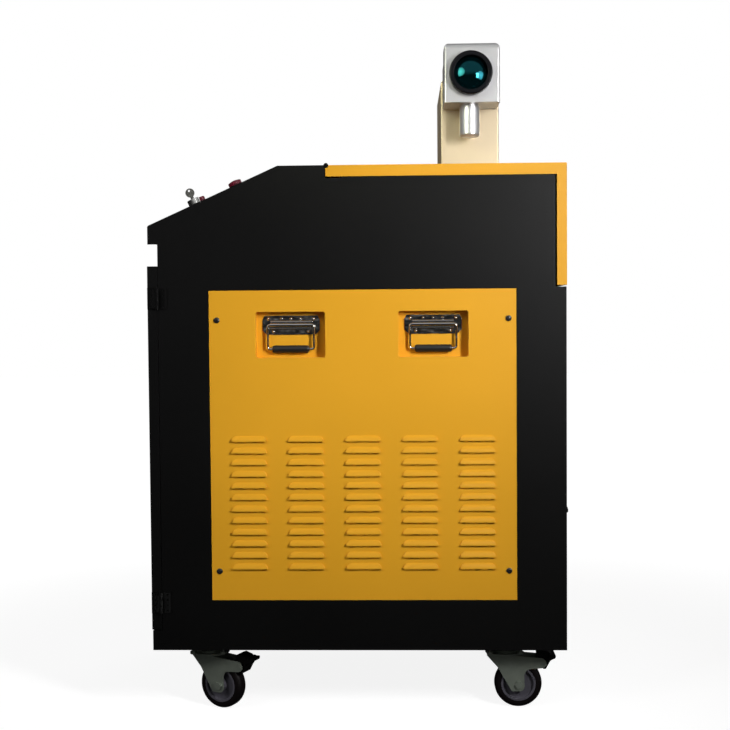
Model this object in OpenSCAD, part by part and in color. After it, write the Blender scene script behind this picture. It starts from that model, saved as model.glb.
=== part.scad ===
// Laser cleaning machine: a sheet steel cabinet on four braked casters, with a sloping console,
// a front and a rear door, a hinged lid, two louvred side panels with sunk spring handles,
// and a scanning head that stands on the lid.
// X runs from the front to the rear, Y across the cabinet, Z up from the floor.

/* [Cabinet] */
// Length of the cabinet body from its front plane to its rear plane
body_l = 871; // [820:1:930]
// Width of the cabinet over its side walls
body_w = 620; // [580:1:700]
// Height of the console's flat top above the cabinet's underside
top_h = 1040; // [1010:1:1090]
// Thickness of the cabinet's sheet steel
sheet_t = 2.5; // [2:0.1:3]
// Height of the base that carries the casters
base_h = 43; // [36:1:50]
// How far the console's nose and the base stand out in front of the front plane
nose_out = 21; // [18:0.5:26]
// Height of the nose's underside above the cabinet's underside
nose_low_h = 875.7; // [850:0.1:890]
// Height of the nose's front face
nose_face_h = 39.3; // [30:0.1:50]
// Distance from the front plane to the foot of the flat top
slope_end_x = 259; // [230:1:280]
// Bend radius of the outer sheet corners
bend_r = 5; // [4:0.5:8]

/* [Lid] */
// Distance from the front plane to the lid's front edge
lid_front_x = 361.4; // [340:0.1:380]
// Depth of the lid's side flanges below its top
lid_flange_h = 24; // [20:0.5:30]
// Width of the flange at each side of the lid's rear plate
lid_rear_flange = 21; // [19:1:32]
// Height of the rear plate's lower edge above the cabinet's underside
lid_low_h = 782; // [740:1:800]
// Thickness of the lid's sheet
lid_t = 2; // [1.5:0.1:2.4]
// Gap between the lid's flanges and the wall below them
lid_gap = 3.5; // [2.5:0.1:4.5]
// Diameter of the lid hinge's barrel
barrel_d = 10; // [9:0.5:11]
// Number of knuckles along the lid hinge
barrel_count = 9; // [7:2:13]

/* [Doors] */
// Thickness of the front door
door_t = 22; // [18:0.5:26]
// Height of the front door
door_h = 784; // [770:1:790]
// Gap round the doors
door_gap = 2; // [1.5:0.1:3]
// Width of the frame that the front door closes on
door_frame = 30; // [24:1:40]
// Width of the rear panel at each side of the rear door
rear_door_side = 50; // [40:1:70]
// Height of the rear door
rear_door_h = 480; // [420:1:540]
// Thickness of the rear door
rear_door_t = 20; // [16:0.5:24]
// Height of a door hinge
hinge_h = 46; // [40:1:56]
// Reach of one hinge leaf from the hinge's axis
leaf_w = 21.5; // [17:0.5:24]
// Thickness of a hinge leaf
leaf_t = 2; // [1.6:0.1:2.4]
// Diameter of a door hinge's knuckles
knuckle_d = 9; // [8:0.5:10]
// Diameter of the hinge pins
pin_d = 4; // [3:0.2:5]
// Height of the upper front hinge's middle above the cabinet's underside
hinge_high = 760; // [700:1:790]
// Height of the lower front hinge's middle above the cabinet's underside
hinge_low = 104; // [90:1:160]

/* [Side panels] */
// Distance from the front plane to a side panel's front edge
panel_x = 109.4; // [90:0.1:125]
// Distance from the rear plane to a side panel's rear edge
panel_rear_x = 106.5; // [90:0.5:125]
// Height of a side panel's lower edge above the cabinet's underside
panel_low = 109.5; // [80:0.5:125]
// Height of a side panel
panel_h = 666; // [640:1:680]
// Thickness of a side panel's sheet
panel_t = 2; // [1.5:0.1:2.5]
// How far a side panel stands proud of the wall
panel_proud = 1.5; // [1:0.1:3]
// Gap between a side panel and the window that it closes
panel_gap = 1.5; // [1:0.1:3]
// Length of a louvre
louvre_l = 76; // [60:1:90]
// Height of a louvre
louvre_h = 12.5; // [10:0.5:15]
// How far a louvre stands out of the panel
louvre_out = 5.5; // [4:0.5:7]
// Distance from the panel's ends to its outer louvres
louvre_side = 45; // [30:0.5:55]
// Spacing of the louvre rows
louvre_step_z = 25; // [20:0.5:27]
// Number of louvre columns
louvre_cols = 5; // [3:1:5]
// Number of louvre rows
louvre_rows = 12; // [8:1:12]
// Height of the lowest louvre's lower edge above the panel's lower edge
louvre_low = 67.5; // [50:0.5:80]

/* [Spring handles] */
// Length of a sunk tray
tray_l = 149; // [140:1:160]
// Height of a sunk tray
tray_h = 98.5; // [92:0.5:110]
// Depth of a sunk tray
tray_depth = 23; // [21:1:30]
// Distance from the panel's front edge to its front tray
tray_inset = 99.6; // [80:0.1:120]
// Distance from the panel's rear edge to its rear tray
tray_rear_inset = 101.5; // [80:0.5:120]
// Distance from the panel's top edge to its trays
tray_drop = 46; // [40:1:60]
// Length of a handle's plate
plate_l = 123; // [118:1:128]
// Height of a handle's plate
plate_h = 41; // [36:1:46]
// Diameter of the bail's rod
rod_d = 5; // [4:0.2:6]
// Distance between the bail's legs
bail_l = 99; // [90:1:104]
// Distance from the bail's axis to the grip's axis
bail_drop = 52; // [46:1:56]
// Length of the grip
grip_l = 80; // [70:1:84]
// Diameter of the grip
grip_d = 16.5; // [14:0.5:18]

/* [Casters] */
// Height of a caster from the floor to its plate's top
caster_h = 145; // [138:1:152]
// Diameter of a wheel over its tyre
wheel_d = 104; // [100:1:106]
// Width of a wheel
wheel_w = 32; // [28:1:36]
// Distance from the swivel axis to the axle
trail = 31; // [26:1:36]
// Distance from the front plane to the front swivel axes
caster_front_x = 92; // [80:1:100]
// Distance from the rear plane to the rear swivel axes
caster_rear_x = 129; // [100:1:150]
// Distance from the side walls to the swivel axes
caster_side_y = 82; // [60:1:90]

/* [Console] */
// Distance up the slope to the key switch
key_s = 108; // [80:1:120]
// Distance up the slope to the start button
button_s = 122; // [115:1:135]
// Distance up the slope to the emergency stop
stop_s = 201; // [185:1:220]
// Diameter of the emergency stop's cap
stop_d = 30; // [26:0.5:40]
// Length of the touch screen across the cabinet
screen_w = 250; // [200:1:270]
// Height of the touch screen up the slope
screen_h = 170; // [140:1:190]

/* [Head] */
// Distance from the rear plane to the head's middle
head_rear_x = 186.5; // [130:0.5:270]
// Distance from the cabinet's middle plane to the scanner's front face
head_front_y = 110; // [90:1:140]
// Length of the scanner housing
galvo_l = 127; // [120:1:140]
// Height of the scanner housing
galvo_h = 135; // [120:1:140]
// Depth of the scanner housing
galvo_w = 100; // [90:1:115]
// Height of the scanner housing's underside above the lid
galvo_low = 163.5; // [150:0.5:190]
// Length of the column
column_l = 136.5; // [120:0.5:145]
// Depth of the column
column_w = 285; // [200:1:295]
// Height of the column
column_h = 235; // [190:1:280]
// Diameter of the lens ring
lens_d = 98; // [88:1:102]
// Diameter of the motor cover
motor_d = 47; // [36:1:50]
// Length of the motor cover
motor_h = 72.5; // [60:0.5:90]

/* [Hidden] */

$fn = 64;
// Overrun of every cut
over = 1;
// Radial clearance of a pin or shaft in its bore
run_fit = 0.06;
// Gap between pieces that move past each other
free_gap = 0.4;
// Steps of a rounded corner in an outline
arc_steps = 4;
// Steps of a louvre's and of the glass's arc
curve_steps = 8;

// Distance from a hinge's axis to the face that its leaves lie on
hinge_seat = knuckle_d / 2 + free_gap;
lock_plate_t = 3;
lock_knob_l = 9;

// Heights above the floor
base_z = caster_h;
base_top_z = base_z + base_h;
door_low_z = base_top_z + door_gap;
door_top_z = door_low_z + door_h;
nose_low_z = base_z + nose_low_h;
nose_top_z = nose_low_z + nose_face_h;
top_z = base_z + top_h;
lid_rise = 0;
lid_proud = 1.2;
barrel_drop = 0.5;
handle_drop = 8;
lid_top_z = top_z + lid_rise;
lid_low_z = base_z + lid_low_h;
wall_top_z = lid_top_z - lid_flange_h - lid_gap;
half_w = body_w / 2;
rear_door_w = body_w - 2 * rear_door_side;

// The row's origin lies on the floor below the middle of the machine's box
front_x = -door_gap / 2 - door_t;
rear_x = body_l + lock_plate_t + free_gap + lock_knob_l;
near_y = -half_w - hinge_seat - knuckle_d / 2;
far_y = half_w + panel_proud + louvre_out;
origin = [(front_x + rear_x) / 2, (near_y + far_y) / 2, 0];

// Cabinet details
deck_t = 3;
coaming_h = 40;
stop_strip_h = 14;
nose_lip = 4;
edge_flange = 25;
seam = 2;

// Lid
lid_rear_x = body_l + lid_proud;
lid_bend_r = 2.5;
barrel_x = lid_front_x + lid_proud;
barrel_z = lid_top_z - barrel_drop;
barrel_clear = 0.8;
barrel_r = barrel_d / 2;
hinge_room = barrel_r + barrel_clear;
leaf_face = hinge_room + free_gap;
lid_leaf_h = 24;
coaming_x = barrel_x + norm([leaf_face + lid_t, lid_flange_h]) + lid_gap;

// Slope of the console
slope_rise = top_z - nose_top_z;
slope_run = slope_end_x + nose_out;
slope_a = atan(slope_rise / slope_run);

// Side panel
panel_low_z = base_z + panel_low;
panel_top_z = panel_low_z + panel_h;
panel_l = body_l - panel_x - panel_rear_x;
louvre_step_x = (panel_l - 2 * louvre_side - louvre_l) / (louvre_cols - 1);
louvre_wall = 1.5;
louvre_r = (louvre_h * louvre_h + louvre_out * louvre_out) / (2 * louvre_out);
screw_d = 12.5;
screw_head = 3.2;
screw_inset_x = 16.5;
screw_inset_z = 63;
screw_hole_d = 6.4;
screw_shank_d = 6;
screw_socket_d = 5.2;
tray_r = 5;

// Handle
plate_t = 1.8;
plate_cut = 9;
axis_drop = 20;
barrel_wall = 1.4;
barrel_out = 3.4;
ear_l = 20;
bend_d = 5;
grip_end_r = 5;
bead_d = 5;
bead_z = 7;
rivet_d = 7;
rivet_out = 1.6;
rivet_high_share = [-0.79, -0.335, 0, 0.335, 0.79];
rivet_low_share = [-0.6, 0.6];

// Caster
mount_t = 3.5;
mount_l = 92;
mount_w = 106;
mount_r = 8;
bolt_x = 33;
bolt_y = 39;
bolt_d = 8;
bolt_head_d = 15;
bolt_head_h = 6;
bolt_low = 16;
race_r = 30;
race_h = 5;
race_step = 3;
crown_r = 41;
crown_t = 4;
crown_low = 120;
kingpin_d = 12;
kingpin_head_d = 22;
kingpin_head_h = 4;
leg_t = 3;
leg_gap = 2;
axle_d = 10;
axle_head_d = 17;
axle_head_h = 5;
hub_r = 38;
hub_web = 7;
hub_rim = 5;
hub_boss_r = 13;
tyre_corner_r = 9;
pedal_w = 30;
pedal_pin_x = 54.5;
pedal_pin_z = 47;
pedal_pin_d = 6;
pedal_r = 8.8;
pedal_tread_w = 44;
// Console controls
key_side = 45;
button_side = 73;
stop_side = 105;
key_y = -half_w + key_side;
button_y = -half_w + button_side;
stop_y = -half_w + stop_side;
screen_s = 150;
screen_y = 60;
screen_lap = 8;
screen_t = 4;
screen_recess = 1.5;
screen_body_t = 34;
screen_margin = 14;
switch_bore = 16.2;
switch_body_d = 16;
stop_bore = 22.2;
stop_body_d = 22;
under_l = 30;
collar_d = 24;
collar_h = 6;
stop_collar_d = 34;
stop_collar_h = 9;
stop_neck_d = 20;
stop_travel = 4;
button_d = 17;
button_h = 10;
button_travel = 3;
key_collar_d = 30;
key_body_d = 27;
key_body_h = 17;
key_neck_h = 6;
key_bow_d = 19.5;
key_bow_t = 3;
key_blade_w = 7;
key_blade_t = 2.4;
plunger_d = 10;
plunger_l = 18;
cap_lip = 2;
cap_edge = 9.5;
cap_h = 12;
cap_dome = 1.5;
// Rear panel, with the rear door's opening, the mains inlet and the fibre's gland
rear_door_mid_h = 290;
jamb_z0 = base_z + rear_door_mid_h - rear_door_h / 2 - door_gap;
jamb_z1 = base_z + rear_door_mid_h + rear_door_h / 2 + door_gap;
jamb_y = rear_door_w / 2 + door_gap;
inlet_w = 60;
inlet_h = 40;
inlet_out = 6;
inlet_y = 190;
gland_d = 34;
gland_bore = 12;
gland_y = 60;
gland_out = 12;
// Places of the two trays' middles, on the near side
tray_mid_z = panel_top_z - tray_drop - tray_h / 2;
tray_x = [panel_x + tray_inset + tray_l / 2, panel_x + panel_l - tray_rear_inset - tray_l / 2];
handle_z = tray_mid_z + tray_h / 2 - handle_drop - axis_drop;
handle_axis_y = rod_d / 2 + barrel_wall + plate_t + barrel_out;
// The front door turns on the near front corner, the rear door on its far edge
front_pivot = [-door_gap / 2, -half_w - hinge_seat];
rear_pivot = [body_l + hinge_seat, jamb_y - door_gap / 2];
rear_hinge_share = 0.34;
leaf_screw_share = 0.62;
liner_depth = 3;
lock_side = 34;
lock_y = -rear_door_w / 2 + lock_side;
lock_body_d = 22;
lock_plate_w = 30;
lock_plate_h = 46;
lock_shaft_d = 9;
lock_knob_d = 13;
lock_lever_l = 26;
lock_cam_l = 44;
lock_cam_w = 16;
lock_cam_t = 3;
// Equipment inside
deck_low_z = 430;
deck_high_z = 760;
deck_front_x = 75;
deck_rear_x = 40;
deck_side = 30;
deck_w = body_w - 2 * deck_side;
post_w = 30;
source_rear_x = 241;
source_side = 90;
source_w = body_w - 2 * source_side;
source_h = 150;
source_x = 150;
source_l = body_l - source_rear_x - source_x;
tank_x = 540;
tank_side = 160;
tank_w = body_w - 2 * tank_side;
tank_h = 330;
tank_rear_x = 71;
tank_l = body_l - tank_rear_x - tank_x;
cap_d = 60;
cap_out = 18;
shroud_t = 26;
cooler_l = 300;
cooler_side = 60;
cooler_far_side = 234;
cooler_w = body_w - cooler_side - cooler_far_side - shroud_t;
cooler_h = 300;
cooler_x = 140;
fan_d = 220;
fan_hub_d = 60;
fan_shaft_d = 8;
fan_blades = 5;
fan_pitch = 24;
control_l = 240;
control_side = 130;
control_w = body_w - 2 * control_side;
control_h = 110;
control_x = 80;
// Head that stands on the lid
head_x = body_l - head_rear_x;
column_corner_r = 14;
column_edge_r = 3;
galvo_corner_r = 14;
galvo_edge_r = 5;
galvo_front = 46;
galvo_step = 28;
lens_off_x = 3;
lens_off_z = 64;
lens_out = 20;
lens_step = 6;
glass_d = 76;
glass_sink = 14;
glass_rise = 12;
motor_corner_r = 7;
motor_neck_h = 3;
motor_neck_cut = 2;
port_d = 30;
port_out = 16;
lens_bore = 70;
// Casters. Rest angles about their swivel axes, near front, near rear, far front and far rear.
caster_yaw = [-24, 0, 16, 6];
caster_x = [caster_front_x, body_l - caster_rear_x, caster_front_x, body_l - caster_rear_x];
caster_y = [-1, -1, 1, 1] * (half_w - caster_side_y);
// Fork: a pressed crown and two legs, each with an arm for the pedal's pin
axle_z = wheel_d / 2;
leg_in = wheel_w / 2 + leg_gap;
// Corners of a leg's outline: X from the swivel axis in crown radii, Z in crown heights, corner radius
leg_share = [[-0.94, 1, 0.6], [-0.94, 0.943, 1], [-0.34, 0.72, 3], [0.385, 0.3, 1.4], [1.08, 0.3, 2.6],
  [1.05, 0.6, 2], [1.22, 0.69, 1.6], [2.1, 0.715, 2], [2.31, 0.795, 2], [2.08, 0.888, 3], [0.4, 0.94, 3],
      [-0.1, 1, 1]];
// Corners of the pedal's hub and of its tread, from its pin, in hub radii, with their corner radii
pedal_share = [[-1.4, 1.2, 2], [-1.4, -0.6, 2], [-0.5, -1.1, 1], [0.1, -1.6, 0.6], [0.7, -1.5, 1],
    [1.55, 0.1, 2],
  [2.2, 1, 0], [2.2, 2.1, 0], [1.3, 2.7, 1], [-0.4, 3.2, 2], [-1.6, 2.7, 2]];
tread_share = [[1.3, 0.5, 1], [2.1, 0.95, 1], [2.9, 1.3, 1], [3.1, 1.75, 1], [3, 2.15, 1], [2.1, 2.1, 1],
    [1.5, 2.3, 1]];

function unit(v) = v / norm(v);
function left(v) = [-v[1], v[0]];
function xy(p) = [p[0], p[1]];

// Corner p between its neighbours a and b, rounded with radius r
function corner(a, p, b, r) = r == 0 ? [p] :
  let (u = unit(a - p), v = unit(b - p), half = acos(u * v) / 2,
    c = p + unit(u + v) * r / sin(half), w = acos(-(u * v)),
    s = p + u * r / tan(half) - c, e = p + v * r / tan(half) - c)
  [for (i = [0:arc_steps]) let (t = i / arc_steps) c + (s * sin((1 - t) * w) + e * sin(t * w)) / sin(w)];

// Outline through points [x, y, corner radius]
function rounded(pts) = let (n = len(pts))
  [for (i = [0:n - 1]) each corner(xy(pts[(i + n - 1) % n]), xy(pts[i]), xy(pts[(i + 1) % n]), pts[i][2])];

// Path through points [x, y, corner radius], moved to its left by t
function shifted(pts, t) = let (n = len(pts)) [for (i = [0:n - 1])
  let (p = xy(pts[i]),
    before = i > 0 ? unit(p - xy(pts[i - 1])) : unit(xy(pts[1]) - p),
    after = i < n - 1 ? unit(xy(pts[i + 1]) - p) : before,
    m = (left(before) + left(after)) / (1 + before * after),
    side = sign(cross(before, after)))
  [p[0] + m[0] * t, p[1] + m[1] * t, pts[i][2] == 0 ? 0 : pts[i][2] - side * t]];

function reversed(v) = [for (i = [len(v) - 1:-1:0]) v[i]];

// Section of a bent sheet that follows a path and is t thick on its left
function bent(pts, t) = concat(rounded(pts), reversed(rounded(shifted(pts, t))));

// Moves everything from the cabinet's own frame to the row's origin
module placed() translate(-origin) children();

// Outline in X and Z, extruded along Y
module along_y(y0, y1) translate([0, y1, 0]) rotate([90, 0, 0]) linear_extrude(y1 - y0) children();

// Outline in Y and Z, extruded along X
module along_x(x0, x1) translate([x0, 0, 0]) rotate([90, 0, 90]) linear_extrude(x1 - x0) children();

// Block between two corners
module block(a, b) translate(a) cube(b - a);

// Rod along Y
module rod_y(x, z, y0, y1, d) translate([x, y1, z]) rotate([90, 0, 0]) cylinder(h = y1 - y0, d = d);

// Things on the far side are the near ones mirrored in the middle plane
module side(near) if (near) children(); else mirror([0, 1, 0]) children();

// Puts a piece on the slope, s up from the nose and y across, with its own Z square to the slope
module on_slope(s, y) translate([-nose_out, y, nose_top_z]) rotate([0, -slope_a, 0]) translate([s, 0, 0])
    children();

module base_frame() color("#141414") placed() {
  difference() {
    block([-nose_out, -half_w + sheet_t, base_z], [body_l, half_w - sheet_t, base_top_z]);
    block([-nose_out + sheet_t, -half_w + 2 * sheet_t, base_z + deck_t],
      [body_l - sheet_t, half_w - 2 * sheet_t, base_top_z + over]);
    for (x = [caster_front_x, body_l - caster_rear_x], y = [-1, 1] * (half_w - caster_side_y))
      for (i = [-1, 1], j = [-1, 1])
        translate([x + i * bolt_x, y + j * bolt_y, base_z - over])
          cylinder(h = deck_t + 2 * over, d = bolt_d + 2 * run_fit);
  }
}

module wall_outline() {
  polygon(rounded([
    [-nose_out, base_z, 0], [body_l, base_z, 0],
    [body_l, lid_low_z - lid_gap, 0],
        [body_l - lid_rear_flange + lid_proud - lid_gap, lid_low_z - lid_gap, 0],
    [body_l - lid_rear_flange + lid_proud - lid_gap, wall_top_z, 0], [lid_front_x - seam, wall_top_z, 0],
    [lid_front_x - seam, top_z, 0], [slope_end_x, top_z, 0], [-nose_out, nose_top_z, bend_r],
    [-nose_out, nose_low_z, 0], [0, nose_low_z, 0], [0, base_top_z, 0], [-nose_out, base_top_z, 0]
  ]));
}

module side_wall() {
  win_x = panel_x - panel_gap;
  win_z = panel_low_z - panel_gap;
  y0 = -half_w + sheet_t;
  coaming_end_x = body_l - lid_rear_flange + lid_proud - lid_gap;
  difference() {
    along_y(-half_w, y0) wall_outline();
    block([win_x, -half_w - over, win_z],
        [panel_x + panel_l + panel_gap, y0 + over, panel_top_z + panel_gap]);
    rod_y(barrel_x, barrel_z, -half_w - over, y0 + over, 2 * hinge_room);
  }
  // Front return, that the door closes on
  block([0, y0, base_top_z], [sheet_t, -half_w + door_frame, door_top_z - stop_strip_h]);
  // Coaming behind the gap under the lid
  block([coaming_x, y0, wall_top_z - coaming_h],
    [coaming_end_x, y0 + lid_t, lid_top_z - lid_t - seam]);
  // Frame that the side panel is screwed to
  difference() {
    block([win_x - edge_flange, y0, win_z - edge_flange],
      [panel_x + panel_l + panel_gap + edge_flange, y0 + lid_t, panel_top_z + panel_gap + edge_flange]);
    block([win_x + edge_flange, y0 - over, win_z + edge_flange],
      [panel_x + panel_l - edge_flange, y0 + lid_t + over, panel_top_z - edge_flange]);
    screw_places() translate([0, -half_w, 0]) rotate([-90, 0, 0])
        cylinder(h = edge_flange, d = screw_hole_d);
  }
}

module side_wall_near() color("#161616") placed() side_wall();
module side_wall_far() color("#161616") placed() side(false) side_wall();

module console_cover() color("#181818") placed() {
  end_x = barrel_x - leaf_face;
  path = [[0, door_top_z - stop_strip_h, 0], [0, nose_low_z + nose_lip, 0],
    [-nose_out, nose_low_z + nose_lip, bend_r], [-nose_out, nose_top_z, bend_r],
    [slope_end_x, top_z, bend_r], [end_x, top_z, 0], [end_x, top_z - edge_flange, 0]];
  difference() {
    along_y(-half_w + sheet_t, half_w - sheet_t) polygon(bent(path, -sheet_t));
    on_slope(key_s, key_y) cylinder(h = 2 * edge_flange, d = switch_bore, center = true);
    on_slope(button_s, button_y) cylinder(h = 2 * edge_flange, d = switch_bore, center = true);
    on_slope(stop_s, stop_y) cylinder(h = 2 * edge_flange, d = stop_bore, center = true);
    on_slope(screen_s, screen_y) translate([-screen_h / 2 + screen_lap, -screen_w / 2 + screen_lap,
        -edge_flange])
      cube([screen_h - 2 * screen_lap, screen_w - 2 * screen_lap, 2 * edge_flange]);
  }
}

module touch_screen() color("#0c0f12") placed() on_slope(screen_s, screen_y) {
  difference() {
    translate([-screen_h / 2, -screen_w / 2, 0]) cube([screen_h, screen_w, screen_t]);
    translate([-screen_h / 2 + screen_margin, -screen_w / 2 + screen_margin, screen_t - screen_recess])
      cube([screen_h - 2 * screen_margin, screen_w - 2 * screen_margin, screen_t]);
  }
  translate([-screen_h / 2 + screen_margin, -screen_w / 2 + screen_margin, -screen_body_t])
    cube([screen_h - 2 * screen_margin, screen_w - 2 * screen_margin, screen_body_t]);
}

// Collar on the cover, with a threaded body below it and a bore for its plunger
module collar(d, h, body_d, bore_d) difference() {
  union() {
    cylinder(h = h, d1 = d, d2 = d - h);
    translate([0, 0, -under_l]) cylinder(h = under_l, d = body_d);
  }
  translate([0, 0, -under_l + over]) cylinder(h = under_l + h, d = bore_d);
}

module button_collars() color("#101010") placed() {
  on_slope(stop_s, stop_y) collar(stop_collar_d, stop_collar_h, stop_body_d, plunger_d + 2 * run_fit);
  on_slope(button_s, button_y) collar(collar_d, collar_h, switch_body_d, plunger_d + 2 * run_fit);
  on_slope(key_s, key_y) difference() {
    cylinder(h = collar_h, d1 = key_collar_d, d2 = key_body_d);
    translate([0, 0, -over]) cylinder(h = collar_h + 2 * over, d = switch_bore);
  }
}

module stop_cap() color("#8e1216") placed() on_slope(stop_s, stop_y) {
  low = stop_collar_h + stop_travel + free_gap;
  rotate_extrude() polygon([[0, low], [stop_neck_d / 2, low], [stop_d / 2, low + cap_lip],
      [stop_d / 2, low + cap_edge],
    [stop_d / 2 - cap_lip, low + cap_h - cap_dome], [stop_d / 4, low + cap_h], [0, low + cap_h]]);
  translate([0, 0, low - plunger_l]) cylinder(h = plunger_l, d = plunger_d);
}

module start_button() color("#8e1216") placed() on_slope(button_s, button_y) {
  low = collar_h + button_travel + free_gap;
  rotate_extrude() polygon([[0, low], [button_d / 2, low], [button_d / 2, low + button_h - cap_dome],
    [button_d / 2 - cap_dome, low + button_h], [0, low + button_h]]);
  translate([0, 0, low - plunger_l]) cylinder(h = plunger_l, d = plunger_d);
}

module key_switch_body() color("#a9abad") placed() on_slope(key_s, key_y) difference() {
  union() {
    translate([0, 0, collar_h]) cylinder(h = key_body_h - collar_h, d = key_body_d);
    translate([0, 0, -under_l]) cylinder(h = under_l + collar_h, d = switch_body_d);
  }
  translate([0, 0, -under_l + over]) cylinder(h = under_l + key_body_h, d = plunger_d + 2 * run_fit);
}

module key() color("#5b5d60") placed() on_slope(key_s, key_y) {
  bow_z = key_body_h + key_neck_h + key_bow_d / 2;
  translate([0, 0, key_body_h - plunger_l]) cylinder(h = plunger_l, d = plunger_d);
  translate([-key_blade_w / 2, -key_blade_t / 2, key_body_h])
      cube([key_blade_w, key_blade_t, key_neck_h + key_blade_w / 2]);
  difference() {
    rod_y(0, bow_z, -key_bow_t / 2, key_bow_t / 2, key_bow_d);
    rod_y(0, bow_z + key_bow_d / 4, -key_bow_t, key_bow_t, key_bow_d / 4);
  }
}

module rear_panel() color("#141414") placed() {
  z1 = lid_low_z - lid_gap;
  mid_z = (jamb_z1 + z1) / 2;
  difference() {
    block([body_l - sheet_t, -half_w + sheet_t, base_top_z], [body_l, half_w - sheet_t, z1]);
    block([body_l - 2 * sheet_t, -jamb_y, jamb_z0], [body_l + over, jamb_y, jamb_z1]);
    translate([body_l, gland_y, mid_z]) rotate([0, 90, 0])
        cylinder(h = 4 * sheet_t, d = gland_bore, center = true);
  }
  // Frame that the rear door closes in
  difference() {
    block([body_l - rear_door_t - lock_cam_t, -jamb_y - sheet_t, jamb_z0 - sheet_t],
        [body_l, jamb_y + sheet_t, jamb_z1 + sheet_t]);
    block([body_l - rear_door_t - lock_cam_t - over, -jamb_y, jamb_z0], [body_l + over, jamb_y, jamb_z1]);
  }
  translate([body_l, inlet_y - inlet_w / 2, mid_z - inlet_h / 2]) difference() {
    cube([inlet_out, inlet_w, inlet_h]);
    translate([inlet_out / 2, inlet_h / 4, inlet_h / 4])
        cube([inlet_out, inlet_w - inlet_h / 2, inlet_h / 2]);
  }
  translate([body_l, gland_y, mid_z]) rotate([0, 90, 0]) difference() {
    union() {
      cylinder(h = gland_out / 2, d = gland_d, $fn = 6);
      cylinder(h = gland_out, d1 = gland_d - gland_out / 2, d2 = gland_d - gland_out);
    }
    translate([0, 0, -over]) cylinder(h = gland_out + 2 * over, d = gland_bore);
  }
}

// Places of a side panel's four screws, on the near side
module screw_places() for (x = [panel_x + screw_inset_x, panel_x + panel_l - screw_inset_x],
  z = [panel_low_z + screw_inset_z, panel_top_z - screw_inset_z]) translate([x, 0, z]) children();

// Outlines of all louvres, seen from the side, drawn in by a margin
module louvre_fronts(m) {
  mid_x = panel_x + panel_l / 2;
  for (i = [0:louvre_cols - 1], j = [0:louvre_rows - 1]) {
    x = mid_x + (i - (louvre_cols - 1) / 2) * louvre_step_x;
    z = panel_low_z + louvre_low + j * louvre_step_z;
    translate([x, z]) polygon(rounded([
      [-louvre_l / 2 + m, 0, 0], [louvre_l / 2 - m, 0, 0],
      [louvre_l / 2 - m, louvre_h - m, louvre_h - 2 * m],
          [-louvre_l / 2 + m, louvre_h - m, louvre_h - 2 * m]]));
  }
}

// Sections of all louvre rows: arcs that rise from the panel and stand out at their lower edge
module louvre_sections(m) {
  face = -half_w - panel_proud;
  r = louvre_r - m;
  for (j = [0:louvre_rows - 1]) {
    z = panel_low_z + louvre_low + j * louvre_step_z;
    translate([face + louvre_r - louvre_out, z]) polygon(concat(
      [for (k = [0:curve_steps]) let (a = k / curve_steps * asin(min(1, louvre_h / louvre_r)))
        [-r * cos(a), r * sin(a)]],
      [[panel_t + louvre_out - louvre_r, louvre_h * r / louvre_r], [panel_t + louvre_out - louvre_r, 0]]));
  }
}

module side_panel() {
  y0 = -half_w - panel_proud;
  y1 = y0 + panel_t;
  floor_y = y0 + tray_depth;
  difference() {
    union() {
      block([panel_x, y0, panel_low_z], [panel_x + panel_l, y1, panel_top_z]);
      intersection() {
        along_x(panel_x, panel_x + panel_l) louvre_sections(0);
        along_y(y0 - 2 * louvre_out, y1) louvre_fronts(0);
      }
      for (x = tray_x) translate([x, 0, tray_mid_z])
        along_y(y0, floor_y + panel_t) tray_outline(0);
    }
    intersection() {
      along_x(panel_x, panel_x + panel_l) louvre_sections(louvre_wall);
      along_y(y0 - 2 * louvre_out, y1 + over) louvre_fronts(louvre_wall);
    }
    along_y(y1 - over, y1 + over) louvre_fronts(louvre_wall);
    for (x = tray_x) translate([x, 0, tray_mid_z]) along_y(y0 - over, floor_y) tray_outline(panel_t);
    screw_places() translate([0, y0, 0]) rotate([-90, 0, 0])
      cylinder(h = 4 * panel_t, d = screw_hole_d, center = true);
  }
}

// Outline of a sunk tray, drawn in by a margin
module tray_outline(m) polygon(rounded([
  [-tray_l / 2 - panel_t + m, -tray_h / 2 - panel_t + m, tray_r + panel_t - m],
  [tray_l / 2 + panel_t - m, -tray_h / 2 - panel_t + m, tray_r + panel_t - m],
  [tray_l / 2 + panel_t - m, tray_h / 2 + panel_t - m, tray_r + panel_t - m],
  [-tray_l / 2 - panel_t + m, tray_h / 2 + panel_t - m, tray_r + panel_t - m]]));

module side_panel_near() color("#dfa32b") placed() side_panel();
module side_panel_far() color("#dfa32b") placed() side(false) side_panel();

// Button head screws with a hexagon socket
module panel_screws() color("#0e0e0e") placed() for (near = [true, false]) side(near)
  screw_places() translate([0, -half_w - panel_proud, 0]) rotate([90, 0, 0]) difference() {
    union() {
      intersection() {
        cylinder(h = screw_head, d = screw_d);
        translate([0, 0, screw_head - screw_d]) sphere(r = screw_d);
      }
      translate([0, 0, -2 * sheet_t - lid_t]) cylinder(h = 2 * sheet_t + lid_t, d = screw_shank_d);
    }
    translate([0, 0, screw_head / 3]) cylinder(h = screw_head, d = screw_socket_d, $fn = 6);
  }

module handle_rivet() rotate([90, 0, 0]) cylinder(h = plate_t + rivet_out, d1 = rivet_d, d2 = rivet_d / 2);

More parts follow.
